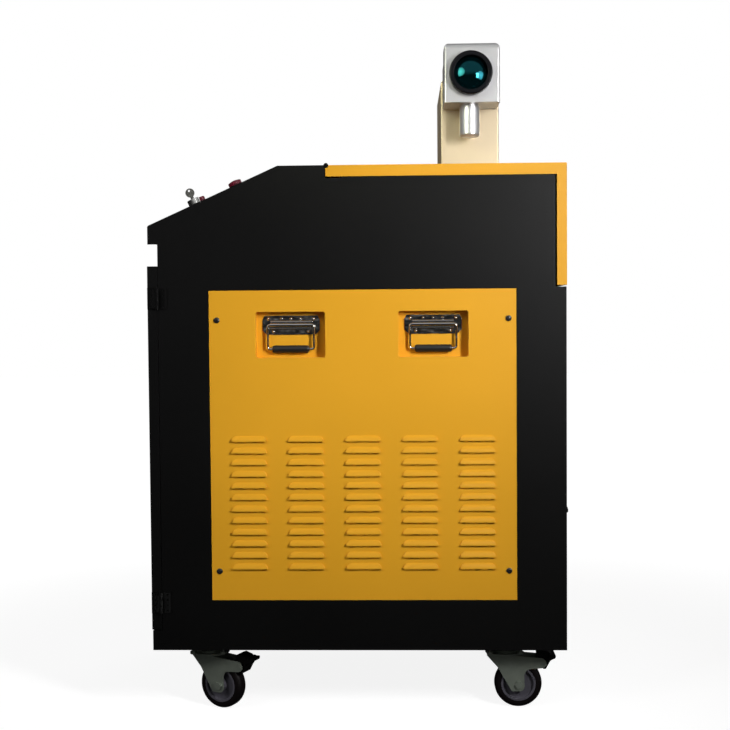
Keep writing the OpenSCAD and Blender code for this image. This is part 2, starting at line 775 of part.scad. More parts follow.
// Handle plate in its own frame: X along the handle, Y into the tray's floor, Z up, origin on the bail's axis
module handle_plate() {
  top = axis_drop;
  low = axis_drop - plate_h;
  axis_y = handle_axis_y;
  difference() {
    union() {
      along_y(-plate_t, 0) polygon(rounded([
        [-plate_l / 2, low + plate_cut, plate_cut / 3], [-plate_l / 2 + plate_cut, low, plate_cut / 3],
        [plate_l / 2 - plate_cut, low, plate_cut / 3], [plate_l / 2, low + plate_cut, plate_cut / 3],
        [plate_l / 2, top - plate_cut, plate_cut / 3], [plate_l / 2 - plate_cut / 2, top, plate_cut / 3],
        [-plate_l / 2 + plate_cut / 2, top, plate_cut / 3],
            [-plate_l / 2, top - plate_cut, plate_cut / 3]]));
      translate([-bail_l / 2 + bend_d, -axis_y, 0]) rotate([0, 90, 0])
        cylinder(h = bail_l - 2 * bend_d, d = rod_d + 2 * barrel_wall);
      block([-bail_l / 2 + bend_d, -axis_y, -rod_d / 2 - barrel_wall],
          [bail_l / 2 - bend_d, 0, rod_d / 2 + barrel_wall]);
      for (z = [-bead_z, bead_z]) translate([-bail_l / 2 + bend_d, -(bead_d + free_gap) / 2, z])
          rotate([0, 90, 0])
        cylinder(h = bail_l - 2 * bend_d, d = bead_d);
      for (x = rivet_high_share) translate([x * plate_l / 2, 0, top - rivet_d]) handle_rivet();
      for (x = rivet_low_share) translate([x * plate_l / 2, 0, low + rivet_d]) handle_rivet();
    }
    translate([-plate_l / 2, -axis_y, 0]) rotate([0, 90, 0]) cylinder(h = plate_l, d = rod_d + 2 * run_fit);
  }
}

// Moves a handle piece from its own frame to tray i of one side
module at_handle(near, i) side(near)
  translate([tray_x[i], -half_w - panel_proud + tray_depth, handle_z]) children();

module handle_plates() color("#c8cacc") placed() for (near = [true, false], i = [0, 1])
    at_handle(near, i) handle_plate();

// Bail: two bent legs whose ends turn in the plate's barrel, joined through the grip
module bail() translate([0, -handle_axis_y, 0]) {
  for (m = [0, 1]) mirror([m, 0, 0]) {
    translate([bail_l / 2 - bend_d, 0, -bend_d]) rotate([90, 0, 0]) rotate_extrude(angle = 90)
      translate([bend_d, 0]) circle(d = rod_d);
    translate([bail_l / 2 - bend_d, 0, -bail_drop + bend_d]) rotate([-90, 0, 0]) rotate_extrude(angle = 90)
      translate([bend_d, 0]) circle(d = rod_d);
    translate([bail_l / 2, 0, -bail_drop + bend_d]) cylinder(h = bail_drop - 2 * bend_d, d = rod_d);
    translate([bail_l / 2 - bend_d - ear_l, 0, 0]) rotate([0, 90, 0]) cylinder(h = ear_l, d = rod_d);
  }
  translate([-bail_l / 2 + bend_d, 0, -bail_drop]) rotate([0, 90, 0])
      cylinder(h = bail_l - 2 * bend_d, d = rod_d);
}

module grip() translate([-grip_l / 2, -handle_axis_y, -bail_drop]) rotate([0, 90, 0]) difference() {
  rotate_extrude() polygon(rounded([[0, 0, 0], [grip_d / 2, 0, grip_end_r],
      [grip_d / 2, grip_l, grip_end_r], [0, grip_l, 0]]));
  translate([0, 0, -over]) cylinder(h = grip_l + 2 * over, d = rod_d);
}

module bail_near_front() color("#c8cacc") placed() at_handle(true, 0) bail();
module bail_near_rear() color("#c8cacc") placed() at_handle(true, 1) bail();
module bail_far_front() color("#c8cacc") placed() at_handle(false, 0) bail();
module bail_far_rear() color("#c8cacc") placed() at_handle(false, 1) bail();
module grip_near_front() color("#101114") placed() at_handle(true, 0) grip();
module grip_near_rear() color("#101114") placed() at_handle(true, 1) grip();
module grip_far_front() color("#101114") placed() at_handle(false, 0) grip();
module grip_far_rear() color("#101114") placed() at_handle(false, 1) grip();

// Butt hinge with its axis on Z. Its outer knuckles and pin are on the fixed leaf, which reaches
// along +X, and its middle knuckle is on the moving leaf. The leaves lie on the plane at y = seat.
module leaf(x0, x1, z0, z1) block([x0, hinge_seat - leaf_t, z0], [x1, hinge_seat, z1]);
module hinge_fixed() difference() {
  z = hinge_h / 6;
  union() {
    leaf(hinge_seat, leaf_w, -hinge_h / 2, hinge_h / 2);
    for (s = [-1, 1]) {
      translate([0, 0, s * 2 * z]) cylinder(h = 2 * z - free_gap, d = knuckle_d, center = true);
      translate([0, 0, s * 2 * z]) translate([0, hinge_seat - leaf_t, -z + free_gap / 2])
        cube([leaf_w, leaf_t, 2 * z - free_gap]);
    }
    cylinder(h = hinge_h, d = pin_d, center = true);
  }
  for (s = [-1, 1], u = [1 / 4, 3 / 4])
      translate([leaf_w * leaf_screw_share, hinge_seat, s * u * hinge_h / 2]) rotate([90, 0, 0])
    cylinder(h = leaf_t * 3, d = pin_d, center = true);
}
module hinge_moving() difference() {
  z = hinge_h / 6;
  union() {
    leaf(-leaf_w, -hinge_seat, -hinge_h / 2, hinge_h / 2);
    leaf(-leaf_w, 0, -z + free_gap / 2, z - free_gap / 2);
    cylinder(h = 2 * z - free_gap, d = knuckle_d, center = true);
  }
  cylinder(h = hinge_h, d = pin_d + 2 * run_fit, center = true);
  for (s = [-1, 1], u = [1 / 4, 3 / 4])
      translate([-leaf_w * leaf_screw_share, hinge_seat, s * u * hinge_h / 2]) rotate([90, 0, 0])
    cylinder(h = leaf_t * 3, d = pin_d, center = true);
}

module front_hinges() for (z = [hinge_low, hinge_high])
    translate([front_pivot[0], front_pivot[1], base_z + z]) children();
module rear_hinges() for (s = [-1, 1])
  translate([rear_pivot[0], rear_pivot[1], base_z + rear_door_mid_h + s * rear_hinge_share * rear_door_h])
    rotate([0, 0, 90]) children();

module hinge_fixed_leaves() color("#0f0f0f") placed() {
  front_hinges() hinge_fixed();
  rear_hinges() hinge_fixed();
}

module front_door() color("#161616") placed() difference() {
  w = half_w;
  translate([0, 0, door_low_z]) linear_extrude(door_h) polygon(rounded([
    [-door_gap / 2 - door_t, -w, sheet_t], [-door_gap / 2, -w, 0], [-door_gap / 2, w, 0],
        [-door_gap / 2 - door_t, w, sheet_t]]));
  block([-door_gap / 2 - liner_depth, -w + door_frame, door_low_z + door_frame],
    [over, w - door_frame, door_top_z - door_frame]);
}

module front_door_leaves() color("#0f0f0f") placed() front_hinges() hinge_moving();

module rear_door() color("#161616") placed() {
  z0 = jamb_z0 + door_gap;
  w = rear_door_w / 2;
  difference() {
    translate([0, 0, z0]) linear_extrude(rear_door_h) polygon(rounded([
      [body_l - rear_door_t, -w, 0], [body_l, -w, sheet_t], [body_l, w, sheet_t],
          [body_l - rear_door_t, w, 0]]));
    block([body_l - rear_door_t - over, -w + door_frame, z0 + door_frame],
      [body_l - rear_door_t + liner_depth, w - door_frame, z0 + rear_door_h - door_frame]);
    translate([body_l, lock_y, base_z + rear_door_mid_h]) rotate([0, 90, 0])
      cylinder(h = 4 * rear_door_t, d = lock_body_d, center = true);
  }
}

module rear_door_leaves() color("#0f0f0f") placed() rear_hinges() hinge_moving();

module lock_body() color("#8c8f92") placed() translate([body_l, lock_y, base_z + rear_door_mid_h])
    difference() {
  union() {
    along_x(0, lock_plate_t) polygon(rounded([
      [-lock_plate_w / 2, -lock_plate_h / 2, lock_plate_w / 3],
          [lock_plate_w / 2, -lock_plate_h / 2, lock_plate_w / 3],
      [lock_plate_w / 2, lock_plate_h / 2, lock_plate_w / 3],
          [-lock_plate_w / 2, lock_plate_h / 2, lock_plate_w / 3]]));
    rotate([0, -90, 0]) cylinder(h = rear_door_t + lock_cam_t, d = lock_body_d);
  }
  rotate([0, 90, 0]) cylinder(h = 4 * rear_door_t, d = lock_shaft_d + 2 * run_fit, center = true);
}

module lock_lever() color("#0d0d0d") placed() translate([body_l, lock_y, base_z + rear_door_mid_h]) {
  x0 = -rear_door_t - lock_cam_t - free_gap - lock_cam_t;
  translate([x0, 0, 0]) rotate([0, 90, 0])
    cylinder(h = -x0 + lock_plate_t + free_gap, d = lock_shaft_d);
  translate([lock_plate_t + free_gap, 0, 0]) rotate([0, 90, 0]) cylinder(h = lock_knob_l, d = lock_knob_d);
  translate([lock_plate_t + free_gap + lock_knob_l / 2, -lock_lever_l / 2, -lock_knob_d / 4])
    cube([lock_knob_l / 2, lock_lever_l, lock_knob_d / 2]);
  translate([x0, 0, 0]) along_x(0, lock_cam_t) polygon(rounded([
    [-lock_cam_w / 2, -lock_cam_w / 2, lock_cam_w / 3], [lock_cam_w / 2, -lock_cam_w / 2, lock_cam_w / 3],
    [lock_cam_w / 2, lock_cam_l, lock_cam_w / 3], [-lock_cam_w / 2, lock_cam_l, lock_cam_w / 3]]));
}

module lid() color("#e3a82f") placed() {
  x1 = lid_rear_x;
  xf = x1 - lid_rear_flange;
  z1 = lid_top_z;
  front = barrel_x + leaf_face;
  difference() {
    along_y(-half_w, half_w) polygon(rounded([
      [lid_front_x, z1, 0], [x1, z1, lid_bend_r], [x1, lid_low_z, 0], [xf, lid_low_z, 0],
      [xf, z1 - lid_flange_h, 0], [lid_front_x, z1 - lid_flange_h, 0]]));
    along_y(-half_w + lid_t, half_w - lid_t) polygon([
      [front + lid_t, z1 - lid_t], [x1 - lid_t, z1 - lid_t], [x1 - lid_t, lid_low_z - over],
      [xf - over, lid_low_z - over], [xf - over, z1 - lid_flange_h - over],
          [front + lid_t, z1 - lid_flange_h - over]]);
    block([lid_front_x - over, -half_w + lid_t, z1 - lid_flange_h - over],
        [front, half_w - lid_t, z1 + over]);
    rod_y(barrel_x, barrel_z, -half_w - over, half_w + over, 2 * hinge_room);
  }
  lid_knuckles(1);
}

// Knuckles of the lid's barrel hinge, every other one, with the leaf that carries them.
// side_sign is 1 for the lid's own and -1 for the frame's.
module lid_knuckles(side_sign) {
  pitch = body_w / barrel_count;
  first = side_sign > 0 ? 1 : 0;
  end = half_w - sheet_t;
  difference() {
    translate([barrel_x, 0, barrel_z]) for (i = [first:2:barrel_count - 1]) {
      y0 = -half_w + i * pitch + free_gap / 2;
      y1 = y0 + pitch - free_gap;
      rod_y(0, 0, y0, y1, barrel_d);
      along_y(max(y0, -end), min(y1, end)) mirror([side_sign < 0 ? 1 : 0, 0]) polygon([
        [0, leaf_t / 2], [leaf_face, leaf_t / 2], [leaf_face, -lid_leaf_h],
            [leaf_face - leaf_t, -lid_leaf_h],
        [leaf_face - leaf_t, -leaf_t / 2], [0, -leaf_t / 2]]);
    }
    if (side_sign > 0) rod_y(barrel_x, barrel_z, -half_w - over, half_w + over, pin_d + 2 * run_fit);
  }
  if (side_sign < 0) rod_y(barrel_x, barrel_z, -end, end, pin_d);
}

module lid_hinge_frame_leaf() color("#0f0f0f") placed() lid_knuckles(-1);

module equipment_rack() color("#6e7275") placed() {
  x0 = deck_front_x;
  x1 = body_l - deck_rear_x;
  for (z = [deck_low_z, deck_high_z])
      block([x0, -deck_w / 2, base_z + z], [x1, deck_w / 2, base_z + z + deck_t]);
  for (x = [x0, x1 - post_w], y = [-deck_w / 2, deck_w / 2 - post_w]) difference() {
    block([x, y, base_z + deck_t], [x + post_w, y + post_w, base_z + deck_high_z]);
    block([x == x0 ? x + deck_t : x - over, y < 0 ? y + deck_t : y - over, base_z],
      [x == x0 ? x + post_w + over : x + post_w - deck_t, y < 0 ? y + post_w + over : y +
          post_w - deck_t, base_z + deck_low_z]);
    block([x == x0 ? x + deck_t : x - over, y < 0 ? y + deck_t : y - over, base_z + deck_low_z + deck_t],
      [x == x0 ? x + post_w + over : x + post_w - deck_t, y < 0 ? y + post_w + over : y +
          post_w - deck_t, top_z]);
  }
}

module laser_source() color("#2b2d30") placed()
  block([source_x, -source_w / 2, base_z + deck_low_z + deck_t],
    [source_x + source_l, source_w / 2, base_z + deck_low_z + deck_t + source_h]);

module water_tank() color("#d7dde0") placed() {
  z0 = base_z + deck_t;
  block([tank_x, -tank_w / 2, z0], [tank_x + tank_l, tank_w / 2, z0 + tank_h]);
  translate([tank_x + tank_l / 2, 0, z0 + tank_h]) cylinder(h = cap_out, d = cap_d);
}

module cooling_unit() color("#8a8d90") placed() {
  z0 = base_z + deck_t;
  y0 = -half_w + cooler_side;
  block([cooler_x, y0 + shroud_t, z0], [cooler_x + cooler_l, y0 + shroud_t + cooler_w, z0 + cooler_h]);
  difference() {
    block([cooler_x, y0, z0], [cooler_x + cooler_l, y0 + shroud_t, z0 + cooler_h]);
    rod_y(cooler_x + cooler_l / 2, z0 + cooler_h / 2, y0 - over, y0 + shroud_t + over, fan_d);
  }
  rod_y(cooler_x + cooler_l / 2, z0 + cooler_h / 2, y0 + over, y0 + shroud_t, fan_shaft_d);
}

module fan_rotor() color("#1a1b1c") placed()
    translate([cooler_x + cooler_l / 2, -half_w + cooler_side, base_z + deck_t + cooler_h / 2])
  rotate([-90, 0, 0]) difference() {
    union() {
      translate([0, 0, over]) cylinder(h = shroud_t - 2 * over, d = fan_hub_d);
      for (i = [0:fan_blades - 1]) rotate([0, 0, i * 360 / fan_blades])
        translate([0, 0, shroud_t / 2]) rotate([fan_pitch, 0, 0])
            translate([fan_hub_d / 3, -fan_hub_d / 3, -over / 2])
          cube([fan_d / 2 - fan_hub_d / 3 - 4 * over, 2 * fan_hub_d / 3, over]);
    }
    cylinder(h = shroud_t, d = fan_shaft_d + 2 * run_fit);
  }

module control_unit() color("#3a3d40") placed()
  block([control_x, -control_w / 2, base_z + deck_high_z + deck_t],
    [control_x + control_l, control_w / 2, base_z + deck_high_z + deck_t + control_h]);

module head_column() color("#cdb88a") placed() {
  y0 = -head_front_y + galvo_w;
  intersection() {
    along_y(y0, y0 + column_w) polygon(rounded([
      [head_x - column_l / 2, lid_top_z, 0], [head_x + column_l / 2, lid_top_z, 0],
      [head_x + column_l / 2, lid_top_z + column_h, column_corner_r],
          [head_x - column_l / 2, lid_top_z + column_h, column_corner_r]]));
    translate([0, 0, lid_top_z]) linear_extrude(column_h) polygon(rounded([
      [head_x - column_l / 2, y0, column_edge_r], [head_x + column_l / 2, y0, column_edge_r],
      [head_x + column_l / 2, y0 + column_w, column_edge_r],
          [head_x - column_l / 2, y0 + column_w, column_edge_r]]));
  }
  translate([head_x, y0 + column_w, lid_top_z + column_h / 2]) rotate([-90, 0, 0]) difference() {
    cylinder(h = port_out, d = port_d);
    translate([0, 0, port_out / 4]) cylinder(h = port_out, d = port_d / 2);
  }
}

module galvo_housing() color("#c9cbcd") placed() {
  x0 = head_x - galvo_l / 2;
  x1 = head_x + galvo_l / 2;
  y0 = -head_front_y;
  y1 = y0 + galvo_w;
  z0 = lid_top_z + galvo_low;
  z1 = z0 + galvo_h;
  ym = y0 + galvo_front;
  z2 = z1 - galvo_step;
  difference() {
    union() {
      intersection() {
        along_y(y0, ym) polygon(rounded([[x0, z0, 0], [x1, z0, 0], [x1, z1, galvo_corner_r],
            [x0, z1, galvo_corner_r]]));
        translate([0, 0, z0]) linear_extrude(galvo_h) polygon(rounded([
          [x0, y0, galvo_edge_r], [x1, y0, galvo_edge_r], [x1, y1, 0], [x0, y1, 0]]));
        along_x(x0, x1) polygon(rounded([[y0, z0, 0], [ym, z0, 0], [ym, z1, galvo_edge_r],
            [y0, z1, galvo_corner_r]]));
      }
      along_y(ym, y1) polygon(rounded([[x0, z0, 0], [x1, z0, 0], [x1, z2, galvo_corner_r],
          [x0, z2, galvo_corner_r]]));
    }
    rod_y(head_x - lens_off_x, z0 + lens_off_z, y0 - over, y0 + lens_step, lens_bore);
  }
}

module lens_barrel() color("#0c0c0e") placed()
    translate([head_x - lens_off_x, -head_front_y, lid_top_z + galvo_low + lens_off_z])
  rotate([90, 0, 0]) rotate_extrude() polygon([
    [glass_d / 2 - lens_step, -lens_step], [lens_bore / 2 - free_gap, -lens_step],
        [lens_bore / 2 - free_gap, 0],
    [lens_d / 2, 0], [lens_d / 2, lens_out - lens_step / 3], [lens_d / 2 - lens_step / 3, lens_out],
    [glass_d / 2 + free_gap, lens_out], [glass_d / 2 + free_gap, lens_out - glass_sink - lens_step],
    [glass_d / 2 - lens_step, lens_out - glass_sink - lens_step]]);

module lens_glass() color("#0b4048") placed()
    translate([head_x - lens_off_x, -head_front_y, lid_top_z + galvo_low + lens_off_z])
  rotate([90, 0, 0]) rotate_extrude() polygon(concat(
    [[0, lens_out - glass_sink - lens_step], [glass_d / 2, lens_out - glass_sink - lens_step]],
    [for (k = [0:curve_steps]) let (u = 1 - k / curve_steps)
      [u * glass_d / 2, lens_out - glass_sink + glass_rise * (1 - u * u)]]));

module motor_cover() color("#c9cbcd") placed()
    translate([head_x - lens_off_x, -head_front_y + galvo_w / 2, lid_top_z + galvo_low])
  rotate([180, 0, 0]) rotate_extrude() polygon(rounded([
    [0, 0, 0], [motor_d / 2 - motor_neck_cut, 0, 0], [motor_d / 2 - motor_neck_cut, motor_neck_h, 0],
    [motor_d / 2, motor_neck_h, 0], [motor_d / 2, motor_h, motor_corner_r], [0, motor_h, 0]]));

module at_caster(i) translate([caster_x[i], caster_y[i], 0]) rotate([0, 0, caster_yaw[i]]) children();

module caster_plate() {
  z1 = caster_h;
  z0 = caster_h - mount_t;
  difference() {
    translate([0, 0, z0]) linear_extrude(mount_t) polygon(rounded([
      [-mount_l / 2, -mount_w / 2, mount_r], [mount_l / 2, -mount_w / 2, mount_r],
      [mount_l / 2, mount_w / 2, mount_r], [-mount_l / 2, mount_w / 2, mount_r]]));
    for (i = [-1, 1], j = [-1, 1]) translate([i * bolt_x, j * bolt_y, z0 - over])
      cylinder(h = mount_t + 2 * over, d = bolt_d + 2 * run_fit);
  }
  crown_top = crown_low + crown_t;
  cup_low = crown_top + race_h + free_gap;
  translate([0, 0, cup_low]) rotate_extrude()
      polygon([[0, 0], [race_r - race_step, 0], [race_r - race_step, race_step],
    [race_r, race_step], [race_r, z0 - cup_low], [0, z0 - cup_low]]);
  translate([0, 0, crown_low - free_gap]) cylinder(h = crown_t + race_h + 2 * free_gap, d = kingpin_d);
  translate([0, 0, crown_low - free_gap - kingpin_head_h]) cylinder(h = kingpin_head_h, d = kingpin_head_d);
  for (i = [-1, 1], j = [-1, 1]) translate([i * bolt_x, j * bolt_y, z0 - bolt_low]) {
    cylinder(h = bolt_head_h, d = bolt_head_d, $fn = 6);
    cylinder(h = bolt_low + mount_t + deck_t + bolt_head_h, d = bolt_d);
    for (z = [bolt_low - bolt_head_h, bolt_low + mount_t + deck_t])
      translate([0, 0, z]) cylinder(h = bolt_head_h, d = bolt_head_d, $fn = 6);
  }
}

module caster_plates() color("#9b9c96") placed() for (i = [0:3]) translate([caster_x[i], caster_y[i], 0])
    caster_plate();

module leg_outline()
  polygon(rounded([for (p = leg_share) [p[0] * crown_r, p[1] * (crown_low + crown_t), p[2] * crown_t]]));

module fork() {
  for (s = [-1, 1]) along_y(s > 0 ? leg_in : -leg_in - leg_t, s > 0 ? leg_in + leg_t : -leg_in)
      leg_outline();
  difference() {
    translate([0, 0, crown_low]) rotate_extrude() polygon([[0, 0], [crown_r, 0], [crown_r, crown_t],
      [race_r + race_step, crown_t], [race_r, crown_t + race_h], [0, crown_t + race_h]]);
    translate([0, 0, crown_low - over])
        cylinder(h = crown_t + race_h + 2 * over, d = kingpin_d + 2 * run_fit);
  }
  rod_y(trail, axle_z, -leg_in - leg_t - axle_head_h, leg_in + leg_t + axle_head_h, axle_d);
  for (y = [-leg_in - leg_t - axle_head_h, leg_in + leg_t]) translate([trail, y + axle_head_h, axle_z])
      rotate([90, 0, 0])
    cylinder(h = axle_head_h, d = axle_head_d, $fn = 6);
  rod_y(trail + pedal_pin_x, axle_z + pedal_pin_z, -leg_in - leg_t - over, leg_in + leg_t + over,
      pedal_pin_d);
}

module hub() translate([trail, 0, axle_z]) rotate([90, 0, 0]) rotate_extrude() polygon([
  [axle_d / 2 + run_fit, -wheel_w / 2], [hub_boss_r, -wheel_w / 2], [hub_boss_r, -hub_web],
      [hub_r - hub_rim, -hub_web],
  [hub_r - hub_rim, -wheel_w / 2 + over], [hub_r, -wheel_w / 2 + over], [hub_r, wheel_w / 2 - over],
  [hub_r - hub_rim, wheel_w / 2 - over], [hub_r - hub_rim, hub_web], [hub_boss_r, hub_web],
  [hub_boss_r, wheel_w / 2], [axle_d / 2 + run_fit, wheel_w / 2]]);

module tyre() translate([trail, 0, axle_z]) rotate([90, 0, 0]) rotate_extrude() polygon(rounded([
  [hub_r, -wheel_w / 2 + over, 0], [wheel_d / 2, -wheel_w / 2 + over, tyre_corner_r],
  [wheel_d / 2, wheel_w / 2 - over, tyre_corner_r], [hub_r, wheel_w / 2 - over, 0]]));

// Brake pedal: a hub between the fork's arms with the brake shoe below it, and a wider tread outside them
module pedal() translate([trail + pedal_pin_x, 0, axle_z + pedal_pin_z]) difference() {
  union() {
    along_y(-pedal_w / 2, pedal_w / 2)
        polygon(rounded([for (p = pedal_share) [p[0] * pedal_r, p[1] * pedal_r, p[2]]]));
    along_y(-pedal_tread_w / 2, pedal_tread_w / 2)
        polygon(rounded([for (p = tread_share) [p[0] * pedal_r, p[1] * pedal_r, p[2]]]));
  }
  rod_y(0, 0, -pedal_w, pedal_w, pedal_pin_d + 2 * run_fit);
}

module fork_near_front() color("#8f918b") placed() at_caster(0) fork();
module fork_near_rear() color("#8f918b") placed() at_caster(1) fork();
module fork_far_front() color("#8f918b") placed() at_caster(2) fork();
module fork_far_rear() color("#8f918b") placed() at_caster(3) fork();
module wheel_near_front() color("#4a4b52") placed() at_caster(0) hub();
module wheel_near_rear() color("#4a4b52") placed() at_caster(1) hub();
module wheel_far_front() color("#4a4b52") placed() at_caster(2) hub();
module wheel_far_rear() color("#4a4b52") placed() at_caster(3) hub();
module tyre_near_front() color("#0e0d10") placed() at_caster(0) tyre();
module tyre_near_rear() color("#0e0d10") placed() at_caster(1) tyre();
module tyre_far_front() color("#0e0d10") placed() at_caster(2) tyre();
module tyre_far_rear() color("#0e0d10") placed() at_caster(3) tyre();
module pedal_near_front() color("#0b0b0b") placed() at_caster(0) pedal();
module pedal_near_rear() color("#0b0b0b") placed() at_caster(1) pedal();
module pedal_far_front() color("#0b0b0b") placed() at_caster(2) pedal();
module pedal_far_rear() color("#0b0b0b") placed() at_caster(3) pedal();

base_frame();
side_wall_near();
side_wall_far();
console_cover();
rear_panel();
side_panel_near();
side_panel_far();
panel_screws();
hinge_fixed_leaves();
lid_hinge_frame_leaf();
touch_screen();
button_collars();
key_switch_body();
handle_plates();
caster_plates();
equipment_rack();
laser_source();
water_tank();
cooling_unit();
control_unit();
fan_rotor();
front_door();
front_door_leaves();
rear_door();
rear_door_leaves();
lock_body();
lock_lever();
lid();
head_column();
galvo_housing();
lens_barrel();
lens_glass();
motor_cover();
stop_cap();
key();
start_button();
bail_near_front();
bail_near_rear();
bail_far_front();
bail_far_rear();
grip_near_front();
grip_near_rear();
grip_far_front();
grip_far_rear();
fork_near_front();
fork_near_rear();
fork_far_front();
fork_far_rear();
wheel_near_front();
wheel_near_rear();
wheel_far_front();
wheel_far_rear();
tyre_near_front();
tyre_near_rear();
tyre_far_front();
tyre_far_rear();
pedal_near_front();
pedal_near_rear();
pedal_far_front();
pedal_far_rear();
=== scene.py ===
import math

import bpy
import numpy as np
from mathutils import Matrix, Vector


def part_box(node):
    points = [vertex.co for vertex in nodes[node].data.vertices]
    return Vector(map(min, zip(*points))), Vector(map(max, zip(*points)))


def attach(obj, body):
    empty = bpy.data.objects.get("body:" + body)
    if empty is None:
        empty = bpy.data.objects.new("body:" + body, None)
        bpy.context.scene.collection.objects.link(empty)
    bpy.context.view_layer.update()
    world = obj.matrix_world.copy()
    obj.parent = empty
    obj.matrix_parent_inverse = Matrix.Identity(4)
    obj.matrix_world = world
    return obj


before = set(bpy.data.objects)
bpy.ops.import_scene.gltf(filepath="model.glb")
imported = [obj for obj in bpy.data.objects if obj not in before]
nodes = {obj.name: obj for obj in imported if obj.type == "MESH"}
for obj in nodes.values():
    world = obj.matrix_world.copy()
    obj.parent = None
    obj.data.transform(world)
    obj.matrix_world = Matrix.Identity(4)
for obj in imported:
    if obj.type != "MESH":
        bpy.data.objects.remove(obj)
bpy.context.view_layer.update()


# The cabinet: folded and welded sheet steel, powder coated in a fine black texture. The front
# door hangs on two butt hinges at the near corner, the rear door lies inside its frame.


class Value:
    """A number or colour inside a shader. Arithmetic on numbers adds Math nodes."""

    def __init__(self, tree, socket):
        self.tree = tree
        self.socket = socket

    def math(self, operation, *terms):
        node = self.tree.nodes.new("ShaderNodeMath")
        node.operation = operation
        for place, term in zip(node.inputs, terms):
            feed(self.tree, place, term)
        return Value(self.tree, node.outputs[0])

    def __add__(self, other):
        return self.math("ADD", self, other)

    def __sub__(self, other):
        return self.math("SUBTRACT", self, other)

    def __rsub__(self, other):
        return self.math("SUBTRACT", other, self)

    def __mul__(self, other):
        return self.math("MULTIPLY", self, other)

    __radd__ = __add__
    __rmul__ = __mul__


def feed(tree, place, term):
    """Links a Value to a socket, or writes a plain number or colour into it."""
    if isinstance(term, Value):
        tree.links.new(term.socket, place)
    elif isinstance(term, (tuple, list)) and len(term) == 3 and len(place.default_value) == 4:
        place.default_value = (*term, 1.0)
    else:
        place.default_value = term


class Shading:
    """The nodes of one material or of the world, from an empty tree."""

    def __init__(self, owner):
        owner.use_nodes = True
        self.tree = owner.node_tree
        self.tree.nodes.clear()

    def node(self, kind, settings=None, sockets=None, out=0):
        """Adds a node: its settings first, then the values or links of its sockets. Gives back
        one of its outputs, where it has any."""
        made = self.tree.nodes.new(kind)
        for name, value in (settings or {}).items():
            setattr(made, name, value)
        for name, term in (sockets or {}).items():
            feed(self.tree, made.inputs[name], term)
        return Value(self.tree, made.outputs[out]) if made.outputs else made


class Finish(Shading):
    """A material in the making: one Principled shader and the nodes that feed it."""

    def __init__(self, name, **constants):
        self.material = bpy.data.materials.new(name)
        super().__init__(self.material)
        surface = self.node("ShaderNodeBsdfPrincipled")
        self.shader = surface.socket.node
        self.node("ShaderNodeOutputMaterial", sockets={"Surface": surface})
        self.set(**constants)

    def set(self, **terms):
        """Sets the shader's sockets, with an underscore for each space in a name."""
        for name, term in terms.items():
            feed(self.tree, self.shader.inputs[name.replace("_", " ")], term)
        return self

    def place(self):
        """The point on the piece at rest, in metres."""
        return self.node("ShaderNodeTexCoord", out="Object")

    def noise(self, scale, detail=2.0, stretch=(1, 1, 1)):
        """Cloudy noise from 0 to 1 with scale cells in a metre, drawn out along an axis."""
        at = self.node("ShaderNodeMapping", sockets={"Vector": self.place(), "Scale": stretch})
        return self.node("ShaderNodeTexNoise", sockets={"Vector": at, "Scale": scale, "Detail": detail})

    def blend(self, low, high, share):
        """The colour between low and high that lies at share."""
        return self.node("ShaderNodeMix", {"data_type": "RGBA"}, {"Factor": share, 6: low, 7: high}, out=2)

    def bump(self, height, depth):
        """Raises the surface by height times depth metres."""
        return self.set(Normal=self.node("ShaderNodeBump", sockets={"Height": height, "Distance": depth}))


def shade(colour, amount):
    """A colour made darker or lighter by a factor."""
    return tuple(min(1.0, c * amount) for c in colour)


def powder_coat(name, colour, roughness, grain_depth, specular):
    """Powder coat: a fine orange peel over a finer grain, with slow patches of tone and gloss."""
    coat = Finish(name, Specular_IOR_Level=specular)
    patch = coat.noise(scale=3.0, detail=3.0)
    peel = coat.noise(scale=420.0)
    grain = coat.noise(scale=1500.0, detail=1.0)
    coat.set(
        Base_Color=coat.blend(shade(colour, 0.9), shade(colour, 1.1), patch * 0.7 + grain * 0.3),
        Roughness=patch * 0.1 + grain * 0.06 + (roughness - 0.08),
    )
    return coat.bump(peel * 0.6 + grain * 0.4, grain_depth)


def dress(names, finish):
    """Gives CAD nodes their finish."""
    for name in names:
        for slot in nodes[name].material_slots:
            slot.material = finish.material


def soften(names, width, angle=35):
    """Breaks the edges of CAD nodes that are sharper than an angle in degrees, by a small round
    of a width in metres, as folded or moulded edges have."""
    for name in names:
        piece = nodes[name]
        piece.data.polygons.foreach_set("use_smooth", [True] * len(piece.data.polygons))
        weld = piece.modifiers.new("weld", "WELD")
        weld.merge_threshold = 1e-5
        round_edge = piece.modifiers.new("round", "BEVEL")
        round_edge.width = width
        round_edge.segments = 2
        round_edge.limit_method = "ANGLE"
        round_edge.angle_limit = math.radians(angle)
        round_edge.use_clamp_overlap = True
        normals = piece.modifiers.new("normals", "WEIGHTED_NORMAL")
        normals.keep_sharp = False
        normals.weight = 100


body_black = powder_coat(
    "body black", colour=(0.0008, 0.0008, 0.0008), roughness=0.45, grain_depth=0.00018, specular=0.19
)
sheet_parts = ["base_frame", "side_wall_near", "side_wall_far", "console_cover", "rear_panel"]
door_parts = ["front_door", "rear_door"]
dress(sheet_parts + door_parts, body_black)
soften(sheet_parts + door_parts, width=0.0008)

hinge_black = powder_coat(
    "hinge black", colour=(0.001, 0.001, 0.001), roughness=0.45, grain_depth=0.0001, specular=0.1
)
hinge_parts = ["hinge_fixed_leaves", "front_door_leaves", "rear_door_leaves", "lid_hinge_frame_leaf"]
dress(hinge_parts, hinge_black)
soften(hinge_parts, width=0.0003)


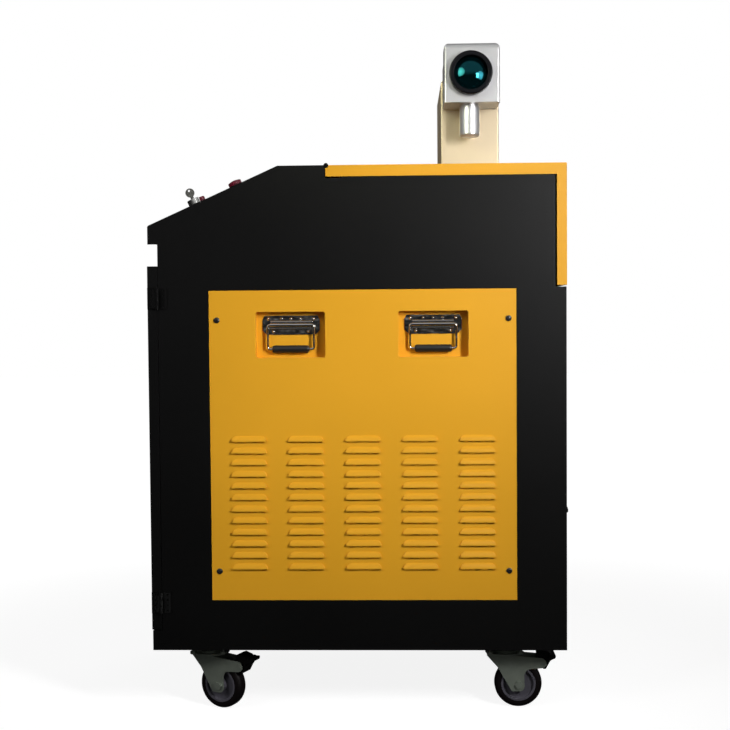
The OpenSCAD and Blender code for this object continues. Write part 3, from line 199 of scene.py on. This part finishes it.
# The yellow sheets: the lid with its deep rear flange, and the two side panels with pressed
# louvres and welded trays, all powder coated in a warm yellow. Black screws hold each panel.

yellow = powder_coat(
    "panel yellow", colour=(0.83, 0.4, 0.020), roughness=0.42, grain_depth=0.0001, specular=0.26
)
panel_parts = ["side_panel_near", "side_panel_far"]
dress(panel_parts + ["lid"], yellow)
soften(panel_parts, width=0.0004)
soften(["lid"], width=0.0006)

screw_black = Finish("screw black", Metallic=0.6, Roughness=0.38)
screw_tone = screw_black.noise(scale=600.0)
screw_black.set(Base_Color=screw_black.blend((0.02, 0.02, 0.02), (0.05, 0.048, 0.045), screw_tone))
dress(["panel_screws"], screw_black)
soften(["panel_screws"], width=0.0003)


# The spring handles: chromed steel plates riveted into the trays, each with a bent rod that
# turns in the plate's rolled barrel and carries a smooth black moulded grip.


def chrome(name, colour, roughness, swell=0.0):
    """Bright plating with faint polishing lines, over steel that swells by swell metres."""
    plate = Finish(name, Metallic=1.0)
    lines = plate.noise(scale=900.0, stretch=(0.05, 1, 1))
    slow = plate.noise(scale=75.0, detail=1.0)
    plate.set(
        Base_Color=plate.blend(shade(colour, 0.85), colour, lines),
        Roughness=lines * 0.08 + roughness,
    )
    line_depth = 0.00002
    return plate.bump(lines * line_depth + slow * swell, depth=1.0)


corner_names = ["near_front", "near_rear", "far_front", "far_rear"]
bail_parts = ["bail_" + corner for corner in corner_names]
handle_chrome = chrome("handle chrome", colour=(0.56, 0.55, 0.52), roughness=0.07, swell=0.0007)
dress(["handle_plates"] + bail_parts, handle_chrome)
soften(["handle_plates"], width=0.0005)
soften(bail_parts, width=0.0002, angle=60)

grip_parts = ["grip_" + corner for corner in corner_names]
grip_black = Finish("grip black", Roughness=0.32, Specular_IOR_Level=0.45)
grip_tone = grip_black.noise(scale=90.0)
grip_black.set(Base_Color=grip_black.blend((0.012, 0.011, 0.010), (0.022, 0.02, 0.018), grip_tone))
dress(grip_parts, grip_black)
soften(grip_parts, width=0.0004, angle=60)


# The rivets' formed heads: low chromed domes that cover the shanks in each handle plate, five
# in a row above the barrel and two below it.

rivet_radius = 0.0036
rivet_height = 0.0023
dome_rings = 8
dome_sides = 28
upper_rivets_x = (-0.0486, -0.0206, 0.0, 0.0206, 0.0486)
lower_rivets_x = (-0.0369, 0.0369)
upper_rivets_rise = 0.013
lower_rivets_drop = 0.014
bail_rod_radius = 0.0025
plate_face_depth = 0.0073


def domes(centres, facing):
    """Low domes on XZ rims about each centre that bulge along Y, to -Y where facing is -1. At a
    share r of the rim's radius a dome stands one less r squared of its height above the rim. The
    rings are four-sided faces, and a fan of triangles closes each pole."""
    share, turn = np.meshgrid(
        np.linspace(0.0, 1.0, dome_rings + 1)[1:],
        np.linspace(0.0, 2 * np.pi, dome_sides, endpoint=False),
        indexing="ij",
    )
    across = rivet_radius * share * np.cos(turn)
    along = facing * rivet_height * (1 - share**2)
    upward = rivet_radius * share * np.sin(turn)
    pole = [[0.0, facing * rivet_height, 0.0]]
    dome = np.concatenate([np.stack([across, along, upward], axis=-1).reshape(-1, 3), pole])
    points = centres[:, None] + dome

    ring, side = np.meshgrid(np.arange(dome_rings - 1), np.arange(dome_sides), indexing="ij")
    after = (side + 1) % dome_sides
    inner = ring * dome_sides
    outer = inner + dome_sides
    quads = np.stack([inner + side, outer + side, outer + after, inner + after], axis=-1)
    fan = np.stack([np.full(dome_sides, len(dome) - 1), side[0], after[0]], axis=-1)
    faces = []
    for net in (quads.reshape(-1, 4), fan):
        copies = net + len(dome) * np.arange(len(centres))[:, None, None]
        faces += copies[..., ::-facing].reshape(-1, net.shape[1]).tolist()
    return points.reshape(-1, 3), faces


def add_surface(name, points, faces, body, finish):
    """Makes a smooth piece that rides on a body."""
    mesh = bpy.data.meshes.new(name)
    mesh.from_pydata(points.tolist(), [], faces)
    mesh.polygons.foreach_set("use_smooth", np.ones(len(mesh.polygons), dtype=bool))
    mesh.materials.append(finish.material)
    made = bpy.data.objects.new(name, mesh)
    bpy.context.scene.collection.objects.link(made)
    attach(made, body)


for corner in corner_names:
    low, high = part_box("bail_" + corner)
    facing = -1 if "near" in corner else 1
    barrel_x = (low.x + high.x) / 2
    barrel_z = high.z - bail_rod_radius
    face_y = (low.y + high.y) / 2 - facing * plate_face_depth
    upper = [(barrel_x + x, face_y, barrel_z + upper_rivets_rise) for x in upper_rivets_x]
    lower = [(barrel_x + x, face_y, barrel_z - lower_rivets_drop) for x in lower_rivets_x]
    points, faces = domes(np.array(upper + lower), facing)
    add_surface("rivet_heads_" + corner, points, faces, "cabinet", handle_chrome)


# The casters: zinc plated pressed forks on ball races, grey moulded hubs with black rubber
# tyres, and a black moulded brake pedal on each.


def plated(name, colour):
    """Dull zinc plating with a cloudy spangle."""
    plate = Finish(name, Metallic=0.55)
    cloud = plate.noise(scale=60.0, detail=4.0)
    fine = plate.noise(scale=900.0)
    plate.set(
        Base_Color=plate.blend(shade(colour, 0.75), shade(colour, 1.2), cloud * 0.7 + fine * 0.3),
        Roughness=cloud * 0.16 + 0.4,
    )
    return plate.bump(fine, 0.00005)


zinc = plated("zinc plating", colour=(0.25, 0.28, 0.235))
fork_parts = ["caster_plates"] + ["fork_" + corner for corner in corner_names]
dress(fork_parts, zinc)
soften(fork_parts, width=0.0006)


def moulded(name, colour, roughness, depth=0.00006, specular=0.4):
    """Moulded plastic or rubber with a fine eroded texture and soft patches of wear."""
    skin = Finish(name, Specular_IOR_Level=specular)
    wear = skin.noise(scale=35.0, detail=4.0)
    fine = skin.noise(scale=1300.0, detail=1.0)
    skin.set(
        Base_Color=skin.blend(shade(colour, 0.8), shade(colour, 1.25), wear),
        Roughness=wear * 0.15 + (roughness - 0.07),
    )
    return skin.bump(fine, depth)


hub_parts = ["wheel_" + corner for corner in corner_names]
hub_grey = moulded("hub grey", colour=(0.095, 0.09, 0.11), roughness=0.42)
dress(hub_parts, hub_grey)
soften(hub_parts, width=0.0006, angle=50)

tyre_parts = ["tyre_" + corner for corner in corner_names]
tyre_rubber = moulded(
    "tyre rubber", colour=(0.003, 0.0016, 0.002), roughness=0.55, depth=0.00012, specular=0.15
)
dress(tyre_parts, tyre_rubber)
soften(tyre_parts, width=0.0003, angle=60)

pedal_parts = ["pedal_" + corner for corner in corner_names]
pedal_black = moulded("pedal black", colour=(0.0012, 0.0012, 0.0012), roughness=0.55, specular=0.1)
dress(pedal_parts, pedal_black)
soften(pedal_parts, width=0.0008)


# The console: a plated key switch with its key, a red push button and a red emergency stop in
# black moulded collars, and a glass touch screen, all set into the sloping cover. The rear
# door's lock has the same plating and the same black moulding.

collar_black = moulded("collar black", colour=(0.012, 0.012, 0.013), roughness=0.4)
dress(["button_collars", "lock_lever"], collar_black)
soften(["button_collars", "lock_lever"], width=0.0004)

stop_red = Finish("stop red", Coat_Weight=0.3, Roughness=0.3)
stop_tone = stop_red.noise(scale=60.0)
stop_red.set(Base_Color=stop_red.blend((0.2, 0.010, 0.030), (0.29, 0.016, 0.045), stop_tone))
dress(["stop_cap", "start_button"], stop_red)
soften(["stop_cap", "start_button"], width=0.0006)

switch_metal = chrome("switch metal", colour=(0.62, 0.62, 0.6), roughness=0.2)
dress(["key_switch_body", "lock_body"], switch_metal)
key_nickel = chrome("key nickel", colour=(0.3, 0.3, 0.27), roughness=0.28, swell=0.0003)
dress(["key"], key_nickel)
soften(["key_switch_body", "key", "lock_body"], width=0.0004)

screen_glass = Finish("screen glass", Roughness=0.08, Specular_IOR_Level=0.5)
screen_tone = screen_glass.noise(scale=12.0)
screen_glass.set(Base_Color=screen_glass.blend((0.004, 0.005, 0.007), (0.008, 0.010, 0.014), screen_tone))
dress(["touch_screen"], screen_glass)
soften(["touch_screen"], width=0.0006)


# The head: a champagne anodised column on the lid carries the silver scanner housing, whose
# black lens ring holds a coated lens, with a satin motor cover below it.


def anodised(name, colour, roughness, stretch):
    """Anodised aluminium: satin, with fine brush lines along one way and slow clouds."""
    metal = Finish(name, Metallic=0.75)
    lines = metal.noise(scale=1400.0, stretch=stretch)
    cloud = metal.noise(scale=9.0, detail=3.0)
    metal.set(
        Base_Color=metal.blend(shade(colour, 0.93), shade(colour, 1.05), lines * 0.5 + cloud * 0.5),
        Roughness=lines * 0.1 + (roughness - 0.05),
    )
    return metal.bump(lines, 0.00003)


upright_lines = (1, 1, 0.04)
level_lines = (0.04, 1, 1)
champagne = anodised("column champagne", (0.62, 0.52, 0.36), roughness=0.46, stretch=upright_lines)
dress(["head_column"], champagne)
soften(["head_column"], width=0.001)
silver = anodised("housing silver", (0.6, 0.6, 0.61), roughness=0.34, stretch=level_lines)
dress(["galvo_housing"], silver)
soften(["galvo_housing"], width=0.001)
satin = anodised("motor silver", (0.74, 0.75, 0.76), roughness=0.3, stretch=upright_lines)
dress(["motor_cover"], satin)
soften(["motor_cover"], width=0.0005, angle=60)

lens_black = moulded("lens black", (0.002, 0.002, 0.004), roughness=0.25, depth=0.00002, specular=0.2)
dress(["lens_barrel"], lens_black)
soften(["lens_barrel"], width=0.0008)
coating = Finish("lens coating", Metallic=0.9, Roughness=0.06, Base_Color=(0.002, 0.05, 0.062))
dress(["lens_glass"], coating)
soften(["lens_glass"], width=0.0003, angle=60)


# Inside the cabinet: a grey rack with the laser source and control unit on its decks, the water
# tank and the cooling unit with its fan on the floor.

rack_grey = moulded("rack grey", colour=(0.16, 0.17, 0.18), roughness=0.5)
dress(["equipment_rack"], rack_grey)
soften(["equipment_rack"], width=0.0005)
case_dark = moulded("case dark", colour=(0.035, 0.037, 0.04), roughness=0.45)
dress(["laser_source", "control_unit", "fan_rotor"], case_dark)
soften(["laser_source", "control_unit"], width=0.002)
cooler_grey = moulded("cooler grey", colour=(0.26, 0.27, 0.28), roughness=0.5)
dress(["cooling_unit"], cooler_grey)
soften(["cooling_unit"], width=0.002)
tank_white = moulded("tank white", colour=(0.66, 0.7, 0.72), roughness=0.4)
dress(["water_tank"], tank_white)
soften(["water_tank"], width=0.006)


# The stage: a pale floor that keeps the shadow and fades to pure white, under a white world.
# Gloss sees that world darker below the horizon and behind the object, as in a real studio.


def straight_rays(shading):
    """1 where the camera looks straight at a surface or through glass, and 0 elsewhere."""
    seen = shading.node("ShaderNodeLightPath", out="Is Camera Ray")
    through = shading.node("ShaderNodeLightPath", out="Is Transmission Ray")
    return seen.math("MAXIMUM", seen, through)


def smooth_range(shading, value, start, end, low=0.0, high=1.0):
    """Runs smoothly from low to high while value runs from start to end."""
    sockets = {"Value": value, "From Min": start, "From Max": end, "To Min": low, "To Max": high}
    return shading.node("ShaderNodeMapRange", {"interpolation_type": "SMOOTHSTEP"}, sockets)


floor_half = 15.0
floor_mesh = bpy.data.meshes.new("floor")
floor_turns = ((-1, -1), (1, -1), (1, 1), (-1, 1))
floor_corners = [(x * floor_half, y * floor_half, 0) for x, y in floor_turns]
floor_mesh.from_pydata(floor_corners, [], [(0, 1, 2, 3)])
floor = bpy.data.objects.new("floor", floor_mesh)
bpy.context.scene.collection.objects.link(floor)

paper = Finish("floor paper", Roughness=0.9, Specular_IOR_Level=0.0, Emission_Strength=1.0)
straight = straight_rays(paper)
distance = paper.node("ShaderNodeVectorMath", {"operation": "LENGTH"}, {0: paper.place()}, out="Value")
far = smooth_range(paper, distance, start=0.9, end=2.2)
glow = paper.blend((0.88, 0.88, 0.88), (1.0, 1.0, 1.0), far)
paper.set(
    Base_Color=paper.blend((0.09, 0.09, 0.09), (0.34, 0.34, 0.34), straight),
    Emission_Color=paper.blend((0.0, 0.0, 0.0), glow, straight),
)
floor_mesh.materials.append(paper.material)

world = bpy.data.worlds.new("studio")
bpy.context.scene.world = world
sky = Shading(world)
direction = sky.node("ShaderNodeTexCoord", out="Generated")
backward = sky.node("ShaderNodeSeparateXYZ", sockets={0: direction}, out="Y")
height = sky.node("ShaderNodeSeparateXYZ", sockets={0: direction}, out="Z")
rise = smooth_range(sky, height, start=-0.04, end=0.3, low=0.02, high=0.6)
behind = smooth_range(sky, backward, start=-0.2, end=0.4, low=1.0, high=0.35)
straight = straight_rays(sky)
glossy = sky.node("ShaderNodeLightPath", out="Is Glossy Ray")
diffuse_level = 0.05
level = straight + (1 - straight) * (glossy * rise * behind + (1 - glossy) * diffuse_level)
white_sky = sky.node("ShaderNodeBackground", sockets={"Color": (1.0, 1.0, 1.0), "Strength": level})
sky.node("ShaderNodeOutputWorld", sockets={"Surface": white_sky})


# The lamps: a soft key at the upper right, a narrow strip and a broad fill at the left, a small
# fill on the head and a soft lamp behind. Only gloss sees two more, the spots in the lens.


def lamp(name, at, aim, size, power, spread=180.0):
    """A soft oblong lamp that looks at a point, with its light held to a spread in degrees."""
    light = bpy.data.lights.new(name, "AREA")
    light.shape = "RECTANGLE"
    light.size, light.size_y = size
    light.energy = power
    light.spread = math.radians(spread)
    piece = bpy.data.objects.new(name, light)
    piece.location = at
    piece.rotation_euler = (Vector(aim) - Vector(at)).to_track_quat("-Z", "Y").to_euler()
    bpy.context.scene.collection.objects.link(piece)
    return piece


lamp("key lamp", at=(1.12, -1.61, 1.34), aim=(-0.3, -0.318, 0.77), size=(0.3, 0.6), power=9.0, spread=92)
lamp("left strip", at=(-1.32, -2.05, 1.83), aim=(0.0, -0.31, 0.9), size=(0.12, 0.9), power=1.5)
left_fill = lamp("left fill", (-3.4, -3.2, 3.0), (-0.1, -0.32, 0.8), size=(1.6, 1.6), power=45)
left_fill.visible_glossy = False
head_fill = lamp("head fill", (0.2, -1.9, 1.0), (0.22, -0.02, 1.4), size=(0.3, 0.3), power=0.07, spread=14)
head_fill.visible_glossy = False

lens_low, lens_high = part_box("lens_glass")
lens_at = Vector(((lens_low.x + lens_high.x) / 2, lens_low.y, (lens_low.z + lens_high.z) / 2))
left_spot_at = lens_at + Vector((-0.66, -0.76, 0.25))
left_spot = lamp("left spot", left_spot_at, lens_at, size=(0.56, 0.62), power=0.8, spread=50)
left_spot.data.color = (0.96, 1.0, 0.72)
right_spot_at = lens_at + Vector((0.71, -0.76, 0.0))
right_spot = lamp("right spot", right_spot_at, lens_at, size=(0.46, 0.58), power=0.5, spread=50)
right_spot.data.color = (1.0, 0.97, 1.0)
for spot in (left_spot, right_spot):
    spot.data.shape = "ELLIPSE"
    spot.visible_diffuse = False
    spot.visible_camera = False

lamp("rear lamp", at=(0.9, 2.2, 2.6), aim=(0.2, 0.0, 1.2), size=(1.2, 0.8), power=8)


# The camera: where the photograph was taken, measured from the cabinet's front plane and its
# near side. The wall's nose stands out past the front plane.

nose_reach = 0.021
camera_behind_front = 0.5233
camera_off_side = 2.6
camera_height = 0.8616
pitch, yaw, roll = (math.radians(angle) for angle in (-2.24, -1.78, -0.46))
focal_pixels = 1220.0
image_pixels = 730.0
sensor_width = 36.0

wall_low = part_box("side_wall_near")[0]
camera_x = wall_low.x + nose_reach + camera_behind_front
camera_at = Vector((camera_x, wall_low.y - camera_off_side, camera_height))
ahead = Vector((math.sin(yaw) * math.cos(pitch), math.cos(yaw) * math.cos(pitch), math.sin(pitch)))
level_right = ahead.cross(Vector((0, 0, 1))).normalized()
level_up = level_right.cross(ahead)
right = level_right * math.cos(roll) + level_up * math.sin(roll)
up = level_up * math.cos(roll) - level_right * math.sin(roll)
camera = bpy.data.objects.new("camera", bpy.data.cameras.new("camera"))
camera.data.sensor_width = sensor_width
camera.data.lens = focal_pixels / image_pixels * sensor_width
turned = Matrix((right, up, -ahead)).transposed().to_4x4()
turned.translation = camera_at
camera.matrix_world = turned
bpy.context.scene.collection.objects.link(camera)
bpy.context.scene.camera = camera
bpy.context.scene.view_settings.view_transform = "Standard"
